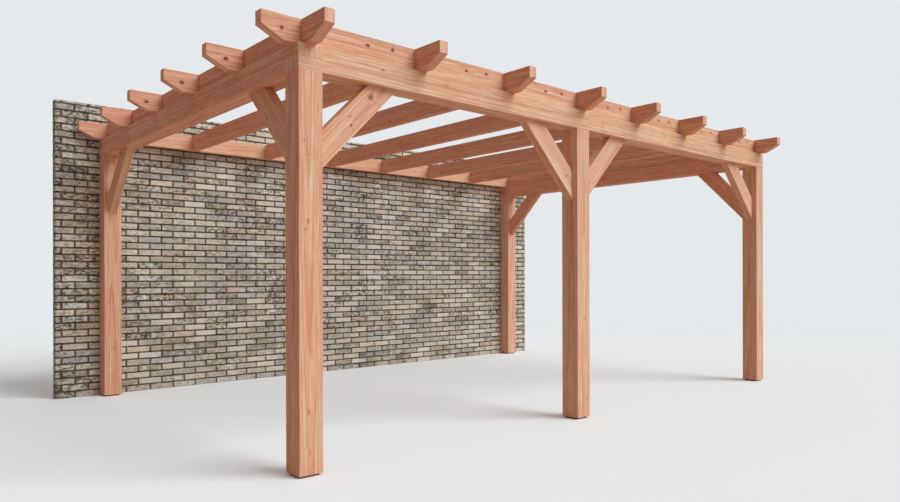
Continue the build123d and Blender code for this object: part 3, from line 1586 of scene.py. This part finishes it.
@dataclass
class Screws:
    """Countersunk screws from above, which hold the rafters and tails down on the beams."""

    steel: Material
    head: float = 6.0 * MM
    proud: float = 0.6 * MM
    recess: float = 2.6 * MM
    recess_depth: float = 2.0 * MM
    recess_taper: float = 0.2
    spread: float = 28.0 * MM
    sides: int = 12

    def build(self) -> list[Piece]:
        """Builds all the screw heads as one piece.

        Returns:
            The piece, in a list.
        """
        bm = bmesh.new()
        for place in self.places():
            self.add_head(bm, place)
        return [make_piece("rafter_screws", bm, self.steel)]

    def places(self) -> list[Vector]:
        """Works out where the screws stand: in pairs over the front beam, and singly over the side beams.

        Returns:
            Points on the tops of the rafters, and of the left tails between the corners.
        """
        front_low, front_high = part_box("front_beam")
        middle_y = (front_low.y + front_high.y) * 0.5
        rafters = [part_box(f"rafter_{number}") for number in range(1, RAFTERS + 1)]
        points = []
        for low, high in rafters:
            middle_x = (low.x + high.x) * 0.5
            points += [Vector((middle_x, middle_y + side * self.spread, high.z)) for side in (-1.0, 1.0)]
        tail_x = (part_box("left_beam")[0].x + rafters[0][0].x) * 0.5
        for number in range(2, LEFT_TAILS):
            low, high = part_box(f"left_tail_{number}")
            middle_y = (low.y + high.y) * 0.5
            points.append(Vector((tail_x, middle_y, high.z)))
            for outer_low, outer_high in (rafters[-1], rafters[0]):
                points.append(Vector(((outer_low.x + outer_high.x) * 0.5, middle_y, outer_high.z)))
        return points

    def add_head(self, bm: BMesh, place: Vector) -> None:
        """Adds one flat head with a round recess.

        Args:
            bm: The mesh of all heads.
            place: Point on top of the timber.
        """
        foot = Matrix.Translation(place - UP * self.recess_depth)
        made = bmesh.ops.create_circle(
            bm,
            cap_ends=True,
            radius=self.head,
            segments=self.sides,
            matrix=foot,
        )
        cap = next(iter(made["verts"][0].link_faces))
        if cap.normal.z < 0.0:
            bmesh.ops.reverse_faces(bm, faces=[cap])
        pulled = bmesh.ops.extrude_face_region(bm, geom=[cap], use_keep_orig=False)
        top = [element for element in pulled["geom"] if isinstance(element, bmesh.types.BMFace)]
        rim = [element for element in pulled["geom"] if isinstance(element, bmesh.types.BMVert)]
        bmesh.ops.translate(bm, verts=rim, vec=UP * (self.recess_depth + self.proud))
        bmesh.ops.inset_region(bm, faces=top, thickness=self.head - self.recess, depth=0.0)
        taper = self.recess * self.recess_taper
        bmesh.ops.inset_region(bm, faces=top, thickness=taper, depth=-self.recess_depth)
        shell = list({face for vert in rim for face in vert.link_faces} | set(top))
        bmesh.ops.recalc_face_normals(bm, faces=shell)


@dataclass
class BrickWall:
    """The free wall behind the frame: a half-brick wall in running bond, over a raked mortar core."""

    brick: Material
    mortar: Material
    course: float = 62.4 * MM
    joint: float = 11.0 * MM
    bricks_per_course: int = 28
    edge: float = 4.0 * MM
    unevenness: float = 3.0 * MM
    flatness: float = 0.95
    recess: float = 4.0 * MM
    rake: float = 11.0 * MM
    end_rake: float = 2.0 * MM
    mortar_cuts: int = 40
    least_wear: float = 0.14
    most_wear: float = 0.8
    wear_power: float = 2.0
    # More stains at the left end are painted shadow of the post and roof; fewer stains at the foot are
    # painted light
    end_shadow_reach: float = 0.65
    painted_end_shadow: float = 0.33
    foot_light_reach: float = 0.9
    painted_foot_light: float = 0.2

    def build(self) -> list[Piece]:
        """Builds the bricks and the mortar.

        Returns:
            The two pieces.
        """
        bricks = make_piece("wall_bricks", self.bricks(), self.brick)
        mortar = make_piece("wall_mortar", self.mortar_core(), self.mortar)
        return [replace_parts(bricks, "brick_wall"), mortar]

    def bricks(self) -> BMesh:
        """Lays every course, with a cut course at the top.

        Returns:
            All the bricks as one mesh.
        """
        low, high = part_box("brick_wall")
        chance = Random("old bricks")
        pitch = (high.x - low.x + self.joint) / self.bricks_per_course
        bm = bmesh.new()
        own = bm.faces.layers.float_vector.new("brick")
        number = 0
        bottom = low.z
        while bottom < high.z - self.joint:
            top = min(bottom + self.course - self.joint, high.z)
            bond = Course.QUARTER_BRICK if number % 2 else Course.THREE_QUARTER_BRICK
            left = low.x - bond.value * pitch
            while left < high.x - self.joint:
                start = Vector((max(left, low.x), low.y, bottom))
                stop = Vector((min(left + pitch - self.joint, high.x), high.y, top))
                if stop.x - start.x > self.joint:
                    self.lay(bm, own, start, stop, chance)
                left += pitch
            bottom += self.course
            number += 1
        round_edges(bm, bm.edges[:], self.edge)
        rim = bm.faces.layers.float.new("rim")
        for face in bm.faces:
            face[rim] = 0.0 if max(map(abs, face.normal)) > self.flatness else 1.0
        return bm

    def lay(
        self, bm: BMesh, own: bmesh.types.BMLayerItem, start: Vector, stop: Vector, chance: Random
    ) -> None:
        """Lays one brick, a little out of true, inside its place in the wall.

        Args:
            bm: The mesh of all bricks.
            own: Layer of each brick's clay, weathering with painted shade and light, and shift.
            start: Lowest corner of its place.
            stop: Highest corner of its place.
            chance: Source of the unevenness.
        """
        inset = Vector((0.0, chance.uniform(0.0, self.recess), 0.0))
        made = add_box(bm, (start + stop) * 0.5, stop - start - inset * 2.0)
        for vert in made:
            vert.co.x += chance.uniform(-self.unevenness, self.unevenness)
            vert.co.z += chance.uniform(-self.unevenness, self.unevenness)
            vert.co.x = min(max(vert.co.x, start.x), stop.x)
            vert.co.z = min(max(vert.co.z, start.z), stop.z)
        wear_with_painted_light = self.wear_with_painted_light(start) + self.most_wear * chance.random() ** self.wear_power
        looks = Vector((chance.random(), wear_with_painted_light, chance.random()))
        for face in {face for vert in made for face in vert.link_faces}:
            face[own] = looks

    def wear_with_painted_light(self, place: Vector) -> float:
        """Finds the least that a brick is weathered: more at the wall's left end, which is painted shadow of
        the post and roof, and less at its foot, which is painted light.

        Args:
            place: Lowest corner of the brick's place.

        Returns:
            The share of its stains that shows, painted shade and light included.
        """
        from_end, _, from_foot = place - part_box("brick_wall")[0]
        end = max(0.0, 1.0 - from_end / self.end_shadow_reach)
        foot = max(0.0, 1.0 - from_foot / self.foot_light_reach)
        return self.least_wear + self.painted_end_shadow * end - self.painted_foot_light * foot

    def mortar_core(self) -> BMesh:
        """Makes the mortar between the bricks as one uneven core, raked back most from the wide faces.

        Returns:
            The core.
        """
        low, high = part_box("brick_wall")
        chance = Random("mortar")
        rake = Vector((self.end_rake, self.rake, 0.0))
        low, high = low + rake, high - rake - UP * self.end_rake
        bm = bmesh.new()
        add_box(bm, (low + high) * 0.5, high - low)
        bmesh.ops.subdivide_edges(bm, edges=bm.edges[:], cuts=self.mortar_cuts, use_grid_fill=True)
        for vert in bm.verts:
            vert.co.y += chance.uniform(-self.unevenness, self.unevenness)
        return bm


@dataclass(frozen=True)
class SoftSun:
    """A broad soft light from far off: its name, the way it shines, its strength and its spread."""

    name: str
    way: tuple[float, float, float]
    strength: float
    spread: float


@dataclass
class Studio:
    """The pale floor, the soft light and the camera at the photograph's place."""

    backdrop: str = "#E6E9EC"
    floor_pale: str = "#F6FBFC"
    floor_bounce: str = "#CBAEA0"
    floor_radius: float = 16.0
    floor_sides: int = 96
    fade_from: float = 4.0
    sky_low: str = "#72594E"
    sky_high: str = "#E7E9EA"
    sky_focus: float = 3.0
    sun_colour: str = "#F8FCFF"
    suns: tuple[SoftSun, ...] = (
        SoftSun("soft_light", (-0.5, 0.866, -0.84), 2.2, radians(42.0)),
        SoftSun("front_fill", (-0.15, 1.0, -0.08), 0.36, radians(30.0)),
    )
    back_light_power: float = 12.0
    back_light_size: tuple[float, float] = (6.0, 2.2)
    back_light_place: Vector = field(default_factory=lambda: Vector((0.6, 5.2, 1.6)))
    eye: Vector = field(default_factory=lambda: Vector((-4.6543, -5.2194, 1.0954)))
    heading: float = radians(41.38)
    roll: float = radians(-0.137)
    lens: float = 28.337
    sensor: float = 36.0
    rise: float = 0.02847

    def build(self) -> None:
        """Sets up the floor, the light and the camera."""
        scene = bpy.context.scene
        scene.view_settings.view_transform = "Standard"
        self.world(scene)
        self.floor()
        for sun in self.suns:
            self.sun(scene, sun)
        self.back_light(scene)
        self.camera(scene)

    def world(self, scene: Scene) -> None:
        """Lights the scene softly, most from above, and shows as a pale backdrop.

        Args:
            scene: The scene.
        """
        world = bpy.data.worlds.new("studio")
        world.use_nodes = True
        tree = world.node_tree
        tree.nodes.clear()
        seen = self.seen(tree)
        way = add_node(tree, "ShaderNodeTexCoord").outputs["Generated"]
        height = add_node(tree, "ShaderNodeSeparateXYZ", {0: way})
        overhead = add_node(
            tree,
            "ShaderNodeMath",
            {0: height.outputs[2], 1: self.sky_focus},
            operation="POWER",
        )
        sky = add_node(
            tree,
            "ShaderNodeMix",
            {"Factor": overhead.outputs[0], "A": linear(self.sky_low), "B": linear(self.sky_high)},
            data_type="RGBA",
        )
        light = add_node(tree, "ShaderNodeBackground", {"Color": sky.outputs["Result"]})
        pale = add_node(tree, "ShaderNodeBackground", {"Color": linear(self.backdrop)})
        mixed = add_node(tree, "ShaderNodeMixShader", {0: seen, 1: light.outputs[0], 2: pale.outputs[0]})
        add_node(tree, "ShaderNodeOutputWorld", {"Surface": mixed.outputs[0]})
        scene.world = world

    def seen(self, tree: Tree) -> Socket:
        """Tells the rays that show a surface from those that only light the scene.

        Args:
            tree: Node tree of the world or the floor.

        Returns:
            1 for a ray from the camera, in a reflection or through glass.
        """
        path = add_node(tree, "ShaderNodeLightPath").outputs
        shown = add_node(
            tree,
            "ShaderNodeMath",
            {0: path["Is Camera Ray"], 1: path["Is Glossy Ray"]},
            operation="MAXIMUM",
        )
        return add_node(
            tree,
            "ShaderNodeMath",
            {0: shown.outputs[0], 1: path["Is Transmission Ray"]},
            operation="MAXIMUM",
        ).outputs[0]

    def floor(self) -> None:
        """Lays a pale round floor that fades into the backdrop."""
        bm = bmesh.new()
        bmesh.ops.create_circle(bm, cap_ends=True, radius=self.floor_radius, segments=self.floor_sides)
        floor = add_object("floor", bm, self.floor_material())

    def floor_material(self) -> Material:
        """Builds the floor's matt material, which shows paler than the light that it throws back.

        Returns:
            The material.
        """
        material, tree = new_material("matt_studio_floor")
        colour = add_node(
            tree,
            "ShaderNodeMix",
            {"Factor": self.seen(tree), "A": linear(self.floor_bounce), "B": linear(self.floor_pale)},
            data_type="RGBA",
        )
        matt = add_node(tree, "ShaderNodeBsdfDiffuse", {"Color": colour.outputs["Result"]})
        place = add_node(tree, "ShaderNodeTexCoord").outputs["Object"]
        reach = add_node(tree, "ShaderNodeVectorMath", {0: place}, operation="LENGTH")
        fade = add_node(
            tree,
            "ShaderNodeMapRange",
            {"Value": reach.outputs["Value"], "From Min": self.fade_from, "From Max": self.floor_radius},
            interpolation_type="SMOOTHSTEP",
        )
        clear = add_node(tree, "ShaderNodeBsdfTransparent")
        mixed = add_node(
            tree,
            "ShaderNodeMixShader",
            {0: fade.outputs[0], 1: matt.outputs[0], 2: clear.outputs[0]},
        )
        close_material(tree, mixed)
        return material

    def sun(self, scene: Scene, sun: SoftSun) -> None:
        """Hangs one broad soft light in front.

        Args:
            scene: The scene.
            sun: The light.
        """
        lamp = bpy.data.lights.new(sun.name, "SUN")
        lamp.energy = sun.strength
        lamp.color = linear(self.sun_colour)[:3]
        lamp.angle = sun.spread
        light = bpy.data.objects.new(sun.name, lamp)
        light.rotation_euler = Vector(sun.way).to_track_quat("-Z", "Y").to_euler()
        scene.collection.objects.link(light)

    def back_light(self, scene: Scene) -> None:
        """Stands a soft panel of light behind the wall, so that its back is lit too.

        Args:
            scene: The scene.
        """
        lamp = bpy.data.lights.new("back_light", "AREA")
        lamp.energy = self.back_light_power
        lamp.shape = "RECTANGLE"
        lamp.size, lamp.size_y = self.back_light_size
        light = bpy.data.objects.new("back_light", lamp)
        light.visible_camera = False
        light.location = self.back_light_place
        light.rotation_euler = (-QUARTER_TURN, 0.0, 0.0)
        scene.collection.objects.link(light)

    def camera(self, scene: Scene) -> None:
        """Places the camera where the photograph was taken.

        Args:
            scene: The scene.
        """
        data = bpy.data.cameras.new("camera")
        data.lens = self.lens
        data.sensor_fit = "HORIZONTAL"
        data.sensor_width = self.sensor
        data.shift_y = self.rise
        camera = bpy.data.objects.new("camera", data)
        turn = Matrix.Rotation(-self.heading, 4, "Z") @ Matrix.Rotation(QUARTER_TURN, 4, "X")
        camera.matrix_world = Matrix.Translation(self.eye) @ turn @ Matrix.Rotation(self.roll, 4, "Z")
        scene.collection.objects.link(camera)
        scene.camera = camera


def main() -> None:
    """Builds the veranda's sub-assemblies in order, and reports each piece."""
    logging.basicConfig(level=logging.INFO, format="%(message)s")
    fir = PlanedFir().material()
    foot_steel = CoatedSteel(
        name="brown_painted_steel",
        pale="#5A4F49",
        dark="#463D38",
        fleck=9.0 * MM,
        roughness=0.5,
        metallic=0.0,
    ).material()
    screw_steel = CoatedSteel(
        name="zinc_plated_steel",
        pale="#C2C0B6",
        dark="#9C9A92",
        fleck=2.0 * MM,
        roughness=0.35,
        metallic=1.0,
    ).material()
    assemblies = (
        Posts(fir),
        Feet(foot_steel),
        Beams(fir),
        Roof(fir),
        Braces(fir),
        Screws(screw_steel),
        BrickWall(OldBrick().material(), LimeMortar().material()),
    )
    for assembly in assemblies:
        for piece in assembly.build():
            log.info("%s: %d faces", piece.name, len(piece.data.polygons))
    Studio().build()


if __name__ == "__main__":
    main()
